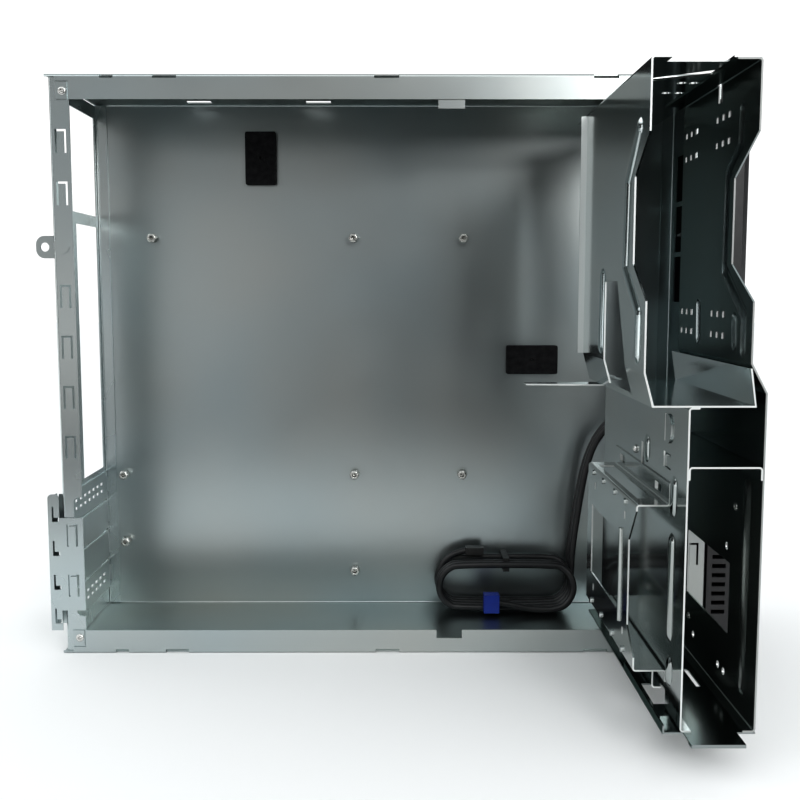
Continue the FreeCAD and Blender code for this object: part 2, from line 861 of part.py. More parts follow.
def cage_floor_plate():
    """Floor of the cage, with a stiffening lip and a hemmed pull tongue."""
    left = pivot_x - floor_offset
    right = pivot_x + lower_right + steel
    near = pivot_y - cage_reach
    tongue = 13
    body = prism("z", (cage_floor, cage_floor + steel), [
        (left, pivot_y + cage_tail),
        (left, near),
        (pivot_x - 11, near),
        (pivot_x - 11, near - tongue),
        (pivot_x + 13, near - tongue),
        (pivot_x + 13, near),
        (right, near),
        (right, pivot_y + cage_tail),
    ])
    lip = box((left, left + steel), cage_y(90, cage_reach), (cage_floor, cage_floor + 4))
    hem = box(cage_x(-11, 13), (near - tongue, near - tongue + 5), (cage_floor - steel, cage_floor))
    lug = box(cage_x(-19, -14.5), cage_y(158, 160), (cage_floor, cage_floor + 4))
    through = (cage_floor - 1, cage_floor + steel + 1)
    cuts = [
        pivot_hole(cage_floor),
        box(cage_x(-16.5, -6), cage_y(112, 138), through),
        box(*floor_slit, through),
    ]
    part("cage_floor", carve(join([body, lip, hem, lug]), cuts))


def bay_divider():
    """Plate between the card slot and the small drive bay, its edges turned down."""
    left = pivot_x + partition + steel
    right = pivot_x + lower_right
    drop = 6
    top = divider_z + steel
    body = prism("y", cage_y(cover_start + 3, cage_reach), [
        (left, top - drop),
        (left, top, outer_bend),
        (right, top, outer_bend),
        (right, top - drop),
        (right - steel, top - drop),
        (right - steel, divider_z, bend),
        (left + steel, divider_z, bend),
        (left + steel, top - drop),
    ])
    part("bay_divider", body)


def drive_bracket():
    """Hat-shaped bracket for a small drive, on the inner side of the lower partition."""
    left = pivot_x + bracket_left
    wall = pivot_x + partition
    top_lip = bracket_top + 2 * fold
    bottom_lip = bracket_bottom - fold
    body = prism("y", cage_y(bracket_start, bracket_end), [
        (wall, top_lip),
        (wall - steel, top_lip),
        (wall - steel, bracket_top, bend),
        (left, bracket_top, outer_bend),
        (left, bracket_bottom, outer_bend),
        (wall - steel, bracket_bottom, bend),
        (wall - steel, bottom_lip),
        (wall, bottom_lip),
        (wall, bracket_bottom + steel, outer_bend),
        (left + steel, bracket_bottom + steel, bend),
        (left + steel, bracket_top - steel, bend),
        (wall, bracket_top - steel, outer_bend),
    ])
    near = pivot_y - bracket_end
    window = (bracket_bottom + 19, bracket_top - 22)
    bumps = []
    for reach in (41, 68, 97.5, 122):
        for z in (bracket_top - 3, bracket_bottom + 3):
            bumps.append(rod("x", (left - 1, left), (pivot_y - reach, z), 1.6))
    rim = rod("z", (window[0] - 4, window[1] + 4), (left + steel, pivot_y - 114), 2)
    rim = overlap(rim, box((left - 2, left + steel), cage_y(110, 118), (bracket_bottom, bracket_top)))
    face = (left - 3, left + steel + bend)
    cuts = [
        box(face, cage_y(37, 108), window),
        prism("x", face, [
            (near - 1, bracket_top - 2),
            (near + 14.5, bracket_top - 20),
            (near + 14.5, bracket_bottom + 18),
            (near - 1, bracket_bottom + 6),
        ]),
        box((left + 4, wall - 4), cage_y(36, 130), (bracket_top - 2, bracket_top + 1)),
    ]
    for reach in (44, 120):
        for z in (bracket_top - 12, bracket_bottom + 10):
            cuts.append(box(face, cage_y(reach, reach + 3), (z, z + 4)))
    cuts += [box((wall - steel - 1, wall + 1), reach, z) for reach, z in lip_lances]
    part("small_drive_bracket", carve(join([body, rim] + bumps), cuts))


def support_leg():
    """Flat arm under the shelf that stands on the tray pad when the cage is shut."""
    inner_end = pivot_x + partition - 1
    tip = pivot_x - leg_length
    body = prism("z", (shelf_z - steel, shelf_z), [
        (inner_end, pivot_y - 42),
        (tip, pivot_y - 46),
        (tip, pivot_y - 55),
        (inner_end, pivot_y - 60),
    ])
    part("support_leg", body)


def cage_rivets():
    """Rivet heads on the inner faces of the cage."""
    inner = pivot_x + lower_right
    wall = pivot_x + partition
    heads = [rod("x", (inner - 0.8, inner), (pivot_y - reach, z), 2)
             for reach, z in ((136, 112), (64, 36))]
    heads.append(rod("x", (wall - 1.5, wall), (pivot_y - 73, divider_z - 6), 2.2))
    part("cage_rivets", group(heads))


# Front bezel
bezel_half = half_width + bezel_overhang
bezel_foot = as_size(0.5)
controls = 22
power_z = case_height - 42
reset_z = case_height - 66
light_zs = (case_height - 100, case_height - 110)
port_column = 25.5
usb_zs = (184, 164)
audio_zs = (146, 132)
bay_hole = (off_tray(45, 88), (shelf_z + 4, cage_top - 3))
small_bay_hole = (off_tray(68, 93), (cage_floor + 11, divider_z - 6))


def bezel_block(inset, back, z):
    """Solid with the rounded plan of the bezel, set in from its outer face."""
    half = bezel_half - inset
    side = front_x + bezel_side - inset * 0.64
    nose = bezel_nose - inset * 0.36
    radius = (half * half + nose * nose) / (2 * nose)
    return prism("z", z, [(back, -half), (side, -half), (side, half), (back, half)], (1, radius))


def bezel_layer(outer, inner):
    """A skin of the bezel between two insets."""
    tall = (bezel_foot, case_height)
    return carve(bezel_block(outer, front_x, tall), [bezel_block(inner, front_x - 1, tall)])


def ahead(low, high):
    """Limits in X, measured forward from the front wall."""
    return (front_x + low, front_x + high)


def front_bezel():
    """Moulded front with a bowed face, openings for the bays and controls, and side vents."""
    shell = carve(bezel_block(as_size(0), front_x, (bezel_foot, case_height)),
                  [bezel_block(bezel_wall, front_x - 1,
                               (bezel_foot + bezel_wall, case_height - bezel_wall))])
    ribs = [overlap(box(ahead(0.5, 30), off_tray(10, 34), limits),
                    bezel_block(bezel_wall / 2, front_x, (bezel_foot, case_height)))
            for limits in ((case_height - 28, case_height - 26), (case_height - 86, case_height - 84),
                           (118, 120), (200, 202))]
    through = ahead(12, 40)
    cuts = [box(through, *bay_hole), box(through, *small_bay_hole)]
    for z, radius in ((power_z, button_radius), (reset_z, small_button_radius)):
        cuts.append(rod("x", through, (tray_y - controls, z), radius + fit))
    for z in light_zs:
        cuts.append(rod("x", through, (tray_y - controls, z), light_radius))
    for z in usb_zs:
        cuts.append(box(through, around(tray_y - port_column, as_size(6.4)), around(as_size(z), 13.8)))
    for z in audio_zs:
        cuts.append(rod("x", through, (tray_y - port_column, z), 3 + fit))
    for index in range(18):
        bottom = 24 + index * 5.5
        cuts.append(box(ahead(3, 11), (-bezel_half - 1, -bezel_half + bezel_wall + 1),
                        (bottom, bottom + 2.5)))
    part("front_bezel", carve(join([shell] + ribs), cuts))


def bay_blank(name, y, z):
    """Cover in one bay opening of the bezel, flanged behind the bezel wall."""
    face = overlap(bezel_layer(as_size(0), bezel_wall + fit),
                   box(ahead(12, 40), (y[0] + fit, y[1] - fit), (z[0] + fit, z[1] - fit)))
    behind = bezel_wall + fit / 3
    flange = overlap(bezel_layer(behind, behind + cover_flange),
                     box(ahead(12, 40), (y[0] - cover_rim, y[1] + cover_rim),
                         (z[0] - cover_rim, z[1] + cover_rim)))
    part(name, join([face, flange]))


def push_button(name, z, radius, proud):
    """Round push button with a collar that stops behind the bezel wall."""
    centre = (tray_y - controls, z)
    cap = rod("x", ahead(15, 24.3 + proud), centre, radius)
    collar = rod("x", ahead(15, 17), centre, radius + 1.5)
    part(name, join([cap, collar]))


def switch_board():
    """Small board behind the buttons with its two push switches."""
    part("switch_board", box(ahead(5, 5 + board_thickness), off_tray(14, 30),
                             (case_height - 84, case_height - 28)))
    seat = 5 + board_thickness
    for name, z in (("power_switch", power_z), ("reset_switch", reset_z)):
        body = box(ahead(seat, 11), around(tray_y - controls, as_size(6)), around(z, 6))
        plunger = rod("x", ahead(11, 15 - button_travel - fit), (tray_y - controls, z), 1.7)
        part(name, join([body, plunger]))


def light_pipes():
    for name, z in zip(("power_light_pipe", "drive_light_pipe"), light_zs):
        part(name, rod("x", ahead(14, 24.9), (tray_y - controls, z), light_radius))


def front_ports():
    """Port board with two USB sockets and two audio sockets."""
    board_y = off_tray(port_column + 2.9, port_column + 2.9 + board_thickness)
    part("port_board", box(ahead(4, 19), board_y, (120, 200)))
    for index, z in enumerate(usb_zs):
        shell = box(ahead(9.5, 23.4), around(tray_y - port_column, as_size(5.8)),
                    around(as_size(z), 13.2))
        mouth = box(ahead(14, 25), around(tray_y - port_column, as_size(4.8)),
                    around(as_size(z), 12.2))
        tongue = box(ahead(14, 22.5), around(tray_y - port_column - 0.9, as_size(1.8)),
                     around(as_size(z), 11))
        part(f"usb_socket_{index + 1}", join([carve(shell, [mouth]), tongue]))
    for index, z in enumerate(audio_zs):
        body = box(ahead(9, 17), around(tray_y - port_column, as_size(5.8)), around(as_size(z), 8))
        nose = rod("x", ahead(17, 23.6), (tray_y - port_column, z), 2.9)
        bore = rod("x", ahead(12, 25), (tray_y - port_column, z), 1.75)
        part(f"audio_socket_{index + 1}", carve(join([body, nose]), [bore]))


# Front cables: each runs down from its boot to a standing hank on the floor of the chassis
usb_diameter = size("usb_diameter", 4.5)
lead_diameter = size("lead_diameter", 4.2)
hank_length = size("hank_length", 94)
hank_height = size("hank_height", 36)
hank_from_front = size("hank_from_front", 157)
tie_thickness = size("tie_thickness", 0.8)
hank_floor = steel + tie_thickness
hank_x = (front_x - hank_from_front, front_x - hank_from_front + hank_length)
lead_hank_y = (2.0, 13.0)
usb_hank_y = (14.0, 26.0)

# Points of each route: back from the front wall, off the tray, and height
USB_ROUTE = (
    (6, 29, 138), (24, 29, 138), (40, 27, 131), (52, 24.5, 118), (58, 22.5, 100),
    (61, 20.4, 80), (63.5, 18.6, 60), (65.5, 17.3, 41), (66, 17, 25),
)
LEAD_ROUTE = (
    (6, 20, 138), (24, 20, 138), (40, 17.5, 131.5), (51, 14, 118), (57, 10.5, 100),
    (60.5, 7.8, 80), (63.2, 6, 60.5), (65.3, 4.9, 42), (66, 4.6, 26),
)


def route_points(route):
    return [FreeCAD.Vector(front_x.value - back, tray_y.value - out, z) for back, out, z in route]


def tube(name, route, diameter):
    """Cable along straight runs joined by arcs as large as the runs allow."""
    points = route_points(route)
    edges = []
    radii = []
    start = points[0]
    for before, corner, after in zip(points, points[1:], points[2:]):
        back = (before - corner)
        ahead_of = (after - corner)
        turn = math.pi - back.getAngle(ahead_of)
        trim = 0.45 * min(back.Length, ahead_of.Length)
        radii.append(trim / math.tan(turn / 2))
        back.normalize()
        ahead_of.normalize()
        enter = corner + back * trim
        leave = corner + ahead_of * trim
        towards = (back + ahead_of).normalize()
        middle = corner + towards * (radii[-1] / math.cos(turn / 2) - radii[-1])
        edges.append(Part.LineSegment(start, enter).toShape())
        edges.append(Part.Arc(enter, middle, leave).toShape())
        start = leave
    edges.append(Part.LineSegment(start, points[-1]).toShape())
    path = Part.Wire(edges)
    circle = Part.Circle(points[0], points[1] - points[0], diameter.value / 2)
    item = doc.addObject("Part::Feature", "tube")
    item.Shape = path.makePipeShell([Part.Wire(circle.toShape())], True, True)
    section = math.pi * diameter.value ** 2 / 4
    print(name, "length", round(path.Length, 1), "radii", [round(radius, 1) for radius in radii],
          "volume share", round(item.Shape.Volume / (section * path.Length), 4))
    part(name, item)


def hank(name, y, diameter):
    """Outer shape of a cable folded into a standing oval hank."""
    low, high = hank_floor, hank_floor + hank_height
    outer = prism("y", off_tray(*y), [
        (hank_x[0], low, hank_height * 0.49), (hank_x[1], low, hank_height * 0.49),
        (hank_x[1], high, hank_height * 0.49), (hank_x[0], high, hank_height * 0.49),
    ])
    wall = 1.6 * diameter
    radius = (hank_height / 2 - wall) * 0.98
    inner = prism("y", (tray_y - y[1] - 1, tray_y - y[0] + 1), [
        (hank_x[0] + wall, low + wall, radius), (hank_x[1] - wall, low + wall, radius),
        (hank_x[1] - wall, high - wall, radius), (hank_x[0] + wall, high - wall, radius),
    ])
    part(name, carve(outer, [inner]))


def front_cables():
    tube("usb_cable_lead", USB_ROUTE, usb_diameter)
    tube("panel_cable_lead", LEAD_ROUTE, lead_diameter)
    hank("panel_cable_hank", lead_hank_y, lead_diameter)
    hank("usb_cable_hank", usb_hank_y, usb_diameter)
    for name, route in (("usb_cable_boot", USB_ROUTE), ("panel_cable_boot", LEAD_ROUTE)):
        back, out, z = route[0]
        part(name, box((front_x - back, front_x + 4), around(tray_y - out, as_size(9)),
                       around(as_size(z), 9)))
    middle = (hank_x[0] + hank_x[1]) / 2
    hank_top = hank_floor + hank_height
    tied = (hank_top - 1.6 * usb_diameter, hank_top)
    outer = box(around(middle, as_size(4)),
                off_tray(lead_hank_y[0] - tie_thickness, usb_hank_y[1] + tie_thickness),
                (tied[0] - tie_thickness, tied[1] + tie_thickness))
    inside = box(around(middle, as_size(6)), off_tray(lead_hank_y[0], usb_hank_y[1]), tied)
    part("cable_tie", carve(outer, [inside]))
    part("usb_plug", box((middle - 15, middle - 5), off_tray(usb_hank_y[1], usb_hank_y[1] + 8),
                         (hank_floor + 2, hank_floor + 14)))
    part("panel_plug", box((middle - 26, middle - 14), off_tray(8.5, 15.5),
                           (hank_top, hank_top + 5)))


def build():
    chassis_pan()
    rear_panel()
    front_panel()
    for index in range(slot_count):
        slot_cover(index)
    slot_clamp()
    standoffs()
    foam_pads()
    lock_loop()
    corner_rivets()
    pivot_hardware()
    bay_frame()
    bay_cover()
    lower_partition()
    cage_floor_plate()
    bay_divider()
    drive_bracket()
    support_leg()
    cage_rivets()
    front_bezel()
    bay_blank("optical_bay_cover", *bay_hole)
    bay_blank("small_bay_cover", *small_bay_hole)
    push_button("power_button", power_z, button_radius, 1.5)
    push_button("reset_button", reset_z, small_button_radius, 0.7)
    switch_board()
    light_pipes()
    front_ports()
    front_cables()


def write():
    """Check every object and write each piece to its own file."""
    doc.recompute()
    faulty = [item.Name for item in doc.Objects
              if "Invalid" in item.State or "Error" in item.State]
    if faulty:
        raise RuntimeError(f"objects that failed: {faulty}")
    for name, item in parts.items():
        if item.Shape.isNull() or not item.Shape.isValid():
            raise RuntimeError(f"{name} has no valid shape")
    os.makedirs("parts", exist_ok=True)
    for name, item in parts.items():
        item.Shape.exportStep(f"parts/{name}.step")


build()
write()
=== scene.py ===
"""Looks of a micro-tower pc case with its side cover off and its drive cage swung out.

Metres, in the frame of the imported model: +X is the front of the case, +Z is up, and the open side
faces -Y.
"""
import math

import bpy
import numpy as np
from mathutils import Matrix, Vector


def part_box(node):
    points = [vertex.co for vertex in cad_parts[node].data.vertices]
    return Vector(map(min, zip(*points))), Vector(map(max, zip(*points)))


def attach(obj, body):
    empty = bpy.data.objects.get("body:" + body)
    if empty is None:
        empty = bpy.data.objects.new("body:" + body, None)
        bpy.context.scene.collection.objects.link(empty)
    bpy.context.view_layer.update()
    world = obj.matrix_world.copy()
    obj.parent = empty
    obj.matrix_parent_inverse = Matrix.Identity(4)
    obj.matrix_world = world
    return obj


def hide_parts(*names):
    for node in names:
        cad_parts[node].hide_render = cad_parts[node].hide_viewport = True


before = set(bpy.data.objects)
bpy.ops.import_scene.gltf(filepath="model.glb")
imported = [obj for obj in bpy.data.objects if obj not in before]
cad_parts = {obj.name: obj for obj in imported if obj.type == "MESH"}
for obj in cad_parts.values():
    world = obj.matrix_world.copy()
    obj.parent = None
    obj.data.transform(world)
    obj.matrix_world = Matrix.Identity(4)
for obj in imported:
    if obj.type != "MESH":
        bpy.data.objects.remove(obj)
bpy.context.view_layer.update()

# Chassis pan: tray, top, bottom and side lips folded from one sheet of zinc-coated steel.
# The coating is satin, with a cloudy tone and a fine grain left by the rolls along the sheet.
SHEET_TONE = (0.47, 0.51, 0.508)
SHEET_ROUGHNESS = 0.3
COOL_CAST = (0.94, 0.99, 1.02)
WARM_CAST = (1.05, 1.01, 0.98)
CLOUD_SCALE = 7
GLOSS_SCALE = 20
GLOSS_SPREAD = 0.015
GRAIN_SCALE = 55
GRAIN_DETAIL = 3
GRAIN_SHARE = 0.55
GRAIN_HEIGHT = 0.0002
# Squeeze of the grain on each axis, for a grain that runs along one of them
ALONG_X, ALONG_Y, ALONG_Z = (1, 30, 30), (30, 1, 30), (30, 30, 1)
# Share of the light that a face returns at a low angle: all of it, less where the coating is dull, and
# least where it is cut down as painted shade
BRIGHT_GLANCE = (1.0, 1.0, 1.0)
PAN_GLANCE = (0.45, 0.48, 0.47)
PAINTED_SHADE_GLANCE = (0.16, 0.19, 0.18)
# Part of a random field that is stretched over a range of values, or over a ramp of colours
FIELD_MIDDLE = (0.25, 0.75)
RAMP_STOPS = (0.3, 0.7)


def new_finish(name):
    """An empty material with its nodes, its links and its surface shader."""
    material = bpy.data.materials.new(name)
    material.use_nodes = True
    tree = material.node_tree
    return material, tree.nodes, tree.links, tree.nodes["Principled BSDF"]


def object_space(nodes, links, stretch):
    """Object coordinates multiplied by a stretch on each axis."""
    place = nodes.new("ShaderNodeTexCoord")
    mapping = nodes.new("ShaderNodeMapping")
    mapping.inputs["Scale"].default_value = stretch
    links.new(place.outputs["Object"], mapping.inputs["Vector"])
    return mapping.outputs["Vector"]


def noise_field(nodes, links, scale, detail=2.0, stretch=(1, 1, 1)):
    """Smooth random field from 0 to 1 over the piece."""
    noise = nodes.new("ShaderNodeTexNoise")
    noise.inputs["Scale"].default_value = scale
    noise.inputs["Detail"].default_value = detail
    links.new(object_space(nodes, links, stretch), noise.inputs["Vector"])
    return noise.outputs["Fac"]


def spread(nodes, links, field, low, high, socket):
    """Send a field to a shader socket, its middle half stretched over a range of values."""
    ranged = nodes.new("ShaderNodeMapRange")
    for name, value in zip(("From Min", "From Max", "To Min", "To Max"), (*FIELD_MIDDLE, low, high)):
        ranged.inputs[name].default_value = value
    links.new(field, ranged.inputs["Value"])
    links.new(ranged.outputs["Result"], socket)


def tint(nodes, links, field, dark, light, socket):
    """Send a field to a colour socket as a ramp between two colours."""
    ramp = nodes.new("ShaderNodeValToRGB")
    for stop, position, colour in zip(ramp.color_ramp.elements, RAMP_STOPS, (dark, light)):
        stop.position = position
        stop.color = (*colour, 1)
    links.new(field, ramp.inputs["Fac"])
    links.new(ramp.outputs["Color"], socket)


def relief(nodes, links, field, strength, height, shader):
    """Turn a field into fine bumps of a given height."""
    bump = nodes.new("ShaderNodeBump")
    bump.inputs["Strength"].default_value = strength
    bump.inputs["Distance"].default_value = height
    links.new(field, bump.inputs["Height"])
    links.new(bump.outputs["Normal"], shader.inputs["Normal"])


def zinc_sheet(name, tone, roughness, grain=ALONG_X, glance=BRIGHT_GLANCE):
    """Zinc-coated sheet: cool and warm clouds, uneven gloss and a grain along one axis.

    The grain is shallower on glossier sheet.
    """
    material, nodes, links, shader = new_finish(name)
    cool, warm = (tuple(np.multiply(tone, cast)) for cast in (COOL_CAST, WARM_CAST))
    tint(nodes, links, noise_field(nodes, links, CLOUD_SCALE), cool, warm, shader.inputs["Base Color"])
    spread(nodes, links, noise_field(nodes, links, GLOSS_SCALE), roughness - GLOSS_SPREAD,
           roughness + GLOSS_SPREAD, shader.inputs["Roughness"])
    shader.inputs["Metallic"].default_value = 1.0
    shader.inputs["Specular Tint"].default_value = (*glance, 1)
    relief(nodes, links, noise_field(nodes, links, GRAIN_SCALE, GRAIN_DETAIL, grain),
           GRAIN_SHARE * roughness ** 2, GRAIN_HEIGHT, shader)
    return material


def dress(material, *names):
    """Give every face of the named construction pieces one material."""
    for name in names:
        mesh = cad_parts[name].data
        mesh.materials.clear()
        mesh.materials.append(material)


dress(zinc_sheet("pan_sheet", SHEET_TONE, SHEET_ROUGHNESS, glance=PAN_GLANCE), "chassis_pan")

# Rear panel, its four slot covers and the clip-on clamp: thinner sheet of the same coating.
# The panel is riveted into the pan, and the covers sit behind the slots under the clamp.
SLOT_COVERS = 4


def shade(colour, factor):
    """A colour made darker or lighter by a factor."""
    return tuple(channel * factor for channel in colour)


REAR_TONE, REAR_ROUGHNESS = shade(SHEET_TONE, 1.04), 0.27
COVER_TONE, COVER_ROUGHNESS = shade(SHEET_TONE, 0.97), 0.31
dress(zinc_sheet("rear_sheet", REAR_TONE, REAR_ROUGHNESS, ALONG_Z), "rear_panel", "slot_clamp")
dress(zinc_sheet("cover_sheet", COVER_TONE, COVER_ROUGHNESS, ALONG_Y),
      *(f"slot_cover_{number + 1}" for number in range(SLOT_COVERS)))

# Front panel: folded sheet with the drive openings and vents, darker than the pan and low in grazing
# return as painted shade.
# It is riveted into the pan, and the bezel covers its outer side.
FRONT_SHADED_TONE, FRONT_ROUGHNESS = shade(SHEET_TONE, 0.75), 0.3
dress(zinc_sheet("front_sheet", FRONT_SHADED_TONE, FRONT_ROUGHNESS, ALONG_Z, PAINTED_SHADE_GLANCE), "front_panel")

# Padlock eye and pivot brackets: small pieces pressed from the same coated steel.
# The eye stands out of the rear panel, and the brackets hold the pins that the cage turns on.
BRACKET_TONE, BRACKET_ROUGHNESS = shade(SHEET_TONE, 0.95), 0.33
dress(zinc_sheet("bracket_sheet", BRACKET_TONE, BRACKET_ROUGHNESS), "lock_loop",
      "upper_pivot_bracket", "lower_pivot_bracket")

# Board stand-offs: eight hexagonal pillars turned from bar and zinc-plated, with a tapped hole.
# They are pressed into the tray on the hole grid of a micro board.
STANDOFF_TONE, STANDOFF_ROUGHNESS = (0.60, 0.60, 0.57), 0.28
STANDOFF_SIDES = 72
STANDOFF_CHAMFER = 0.0006
# Radius where the chamfer meets the top, as a share of half the width across the flats
CHAMFER_SHARE = 1.01
THREAD_RADIUS = 0.0014
THREAD_LENGTH = 0.0045
THREAD_PITCH = 0.0006
THREAD_DEPTH = 0.00016
THREAD_STEPS = 4
MOUTH_WIDENING = 0.0004
PLATING_CLOUDS = 400
PLATING_SHADE = 0.9
PLATING_GLOSS = 900
PLATING_SPREAD = (0.05, 0.06)
# Points of a construction piece this close to one of its points are in the same solid
SOLID_REACH = 0.012


def plated(name, tone, roughness):
    """Bright zinc plating on small turned pieces."""
    material, nodes, links, shader = new_finish(name)
    tint(nodes, links, noise_field(nodes, links, PLATING_CLOUDS), shade(tone, PLATING_SHADE), tone,
         shader.inputs["Base Color"])
    smoother, rougher = PLATING_SPREAD
    spread(nodes, links, noise_field(nodes, links, PLATING_GLOSS), roughness - smoother,
           roughness + rougher, shader.inputs["Roughness"])
    shader.inputs["Metallic"].default_value = 1.0
    return material


def surface_piece(name, grids, material, wrap=True):
    """Piece from grids of points, one quad between neighbours, the second direction wrapped round."""
    points, faces, start = [], [], 0
    for grid in grids:
        rows, columns = grid.shape[:2]
        index = np.arange(rows * columns).reshape(rows, columns) + start
        if wrap:
            index = np.hstack([index, index[:, :1]])
        quads = np.stack([index[:-1, :-1], index[:-1, 1:], index[1:, 1:], index[1:, :-1]], axis=-1)
        points.append(grid.reshape(-1, 3))
        faces.append(quads.reshape(-1, 4))
        start += rows * columns
    mesh = bpy.data.meshes.new(name)
    mesh.from_pydata(np.vstack(points).tolist(), [], np.vstack(faces).tolist())
    mesh.materials.append(material)
    mesh.shade_smooth()
    piece = bpy.data.objects.new(name, mesh)
    bpy.context.scene.collection.objects.link(piece)
    return piece


def node_solids(name):
    """Lowest and highest corner of each separate solid of a construction piece."""
    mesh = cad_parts[name].data
    rest = np.empty(len(mesh.vertices) * 3)
    mesh.vertices.foreach_get("co", rest)
    rest = rest.reshape(-1, 3)
    boxes = []
    while len(rest):
        near = np.linalg.norm(rest - rest[0], axis=1) < SOLID_REACH
        boxes.append((rest[near].min(0), rest[near].max(0)))
        rest = rest[~near]
    return boxes


def hexagon(angles, half_width):
    """Distance from the centre to the side of a hexagon in each direction."""
    sector = np.mod(angles, math.pi / 3) - math.pi / 6
    return half_width / np.cos(sector)


def standoff_grid(foot, across, height):
    """Pillar along -Y: hexagonal sides, a turned chamfer, and a tapped hole whose wall waves."""
    angles = np.linspace(0, 2 * math.pi, STANDOFF_SIDES, endpoint=False)
    side = hexagon(angles, across / 2)
    chamfer = np.minimum(side, across / 2 * CHAMFER_SHARE)
    depth = np.arange(0, THREAD_LENGTH, THREAD_PITCH / THREAD_STEPS)
    thread = THREAD_RADIUS + THREAD_DEPTH * np.cos(2 * math.pi * depth / THREAD_PITCH)
    levels = np.concatenate([[0, 0, height - STANDOFF_CHAMFER, height, height], height - depth,
                             [height - depth[-1]]])
    one = np.ones_like(angles)
    radii = np.vstack([0 * one, side, side, chamfer, (THREAD_RADIUS + MOUTH_WIDENING) * one,
                       thread[:, None] * one, 0 * one])
    x = foot[0] + radii * np.cos(angles)
    y = foot[1] - levels[:, None] * one
    z = foot[2] + radii * np.sin(angles)
    return np.stack([x, y, z], axis=-1)


standoff_grids = []
for low, high in node_solids("board_standoffs"):
    middle = (low + high) / 2
    standoff_grids.append(standoff_grid((middle[0], high[1], middle[2]), high[2] - low[2],
                                        high[1] - low[1]))
standoff_plating = plated("standoff_plating", STANDOFF_TONE, STANDOFF_ROUGHNESS)
standoffs = surface_piece("threaded_standoffs", standoff_grids, standoff_plating)
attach(standoffs, "chassis")
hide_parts("board_standoffs")

# Blind rivets: domed heads with the stub of the drawn mandrel in the middle.
# Four hold the ends of the side lips, and four hold the cage together.
RIVET_TONE, RIVET_ROUGHNESS = (0.66, 0.66, 0.64), 0.25
RIVET_SIDES = 32
# Outline of a head, as shares of its radius and of its height
RIVET_PROFILE = ((0.0, 0.0), (1.0, 0.0), (1.0, 0.25), (0.93, 0.6), (0.68, 0.95), (0.44, 1.0),
                 (0.40, 0.9), (0.38, 0.35), (0.30, 0.3), (0.27, 0.5), (0.0, 0.55))
# Each set of rivets, the body that carries it and the way its heads face
RIVET_SETS = (("corner_rivets", "chassis", (0.0, -1.0, 0.0)), ("cage_rivets", "cage", (-1.0, 0.0, 0.0)))


def rivet_grid(foot, axis, radius, height):
    """Outline of radius and height turned about an axis from the foot of the head."""
    first = np.array((0.0, 0.0, 1.0))
    second = np.cross(axis, first)
    angles = np.linspace(0, 2 * math.pi, RIVET_SIDES, endpoint=False)
    profile = np.array(RIVET_PROFILE)
    ring = first * np.cos(angles)[:, None] + second * np.sin(angles)[:, None]
    return (foot + profile[:, 1, None, None] * height * axis
            + profile[:, 0, None, None] * radius * ring)


rivet_plating = plated("rivet_plating", RIVET_TONE, RIVET_ROUGHNESS)
for node, body, facing in RIVET_SETS:
    axis = np.array(facing)
    heads = []
    for low, high in node_solids(node):
        centre = (low + high) / 2
        reach = (high - low) @ np.abs(axis)
        heads.append(rivet_grid(centre - axis * reach / 2, axis, (high[2] - low[2]) / 2, reach))
    rivets = surface_piece(node.replace("rivets", "rivet_heads"), heads, rivet_plating)
    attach(rivets, body)
    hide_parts(node)

# Pivot pins: plain turned steel with a bright plating.
# One is pressed into each pivot bracket, and the cage turns on the two.
PIN_TONE, PIN_ROUGHNESS = (0.6, 0.6, 0.58), 0.22
dress(plated("pin_plating", PIN_TONE, PIN_ROUGHNESS), "upper_pivot_pin", "lower_pivot_pin")

# Foam pads: blocks of black closed-cell foam cut from sheet, soft at their edges.
# Each is stuck to the tray by its back.
FOAM_DARK, FOAM_LIGHT = (0.006, 0.006, 0.007), (0.016, 0.016, 0.017)
FOAM_ROUGHNESS = 0.95
FOAM_SHINE = 0.2
FOAM_CLOUDS = 300
PORE_SCALE = 1500
FOAM_DETAIL = 3
PORE_STRENGTH = 0.6
PORE_HEIGHT = 0.0004
# Power that squares the round form of a pad, and the points of its grid
PAD_EDGE = 0.08
PAD_ROWS, PAD_COLUMNS = 40, 96


def foam(name):
    """Black foam: cut cells as small pits, and a dull, slightly uneven tone."""
    material, nodes, links, shader = new_finish(name)
    tint(nodes, links, noise_field(nodes, links, FOAM_CLOUDS, FOAM_DETAIL), FOAM_DARK, FOAM_LIGHT,
         shader.inputs["Base Color"])
    shader.inputs["Roughness"].default_value = FOAM_ROUGHNESS
    shader.inputs["Specular IOR Level"].default_value = FOAM_SHINE
    relief(nodes, links, noise_field(nodes, links, PORE_SCALE, FOAM_DETAIL), PORE_STRENGTH,
           PORE_HEIGHT, shader)
    return material


def pad_grid(low, high):
    """Rounded block: each coordinate is a sine or cosine raised to a small power, sign kept."""
    centre = (low + high) / 2
    half = (high - low) / 2
    rise = np.linspace(-math.pi / 2, math.pi / 2, PAD_ROWS)[:, None]
    turn = np.linspace(0, 2 * math.pi, PAD_COLUMNS, endpoint=False)[None, :]

    def power(wave):
        return np.sign(wave) * np.abs(wave) ** PAD_EDGE

    x = centre[0] + half[0] * power(np.cos(rise)) * power(np.cos(turn))
    z = centre[2] + half[2] * power(np.cos(rise)) * power(np.sin(turn))
    y = centre[1] - half[1] * power(np.sin(rise)) * np.ones_like(turn)
    return np.stack([x, y, z], axis=-1)


foam_finish = foam("closed_cell_foam")
for node in ("upper_foam_pad", "lower_foam_pad"):
    low, high = (np.array(corner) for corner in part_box(node))
    pad = surface_piece(node.replace("_pad", "_block"), [pad_grid(low, high)], foam_finish)
    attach(pad, "chassis")
    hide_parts(node)

# Drive cage: folded and lanced sheet pieces riveted into one frame that swings on two pins.
# The sheet is smoother than the chassis, and its sheared near edges are bare and rough, and paler both as
# bare metal and as a painted highlight.
EDGE_TONE, EDGE_ROUGHNESS = (0.80, 0.82, 0.81), 0.6
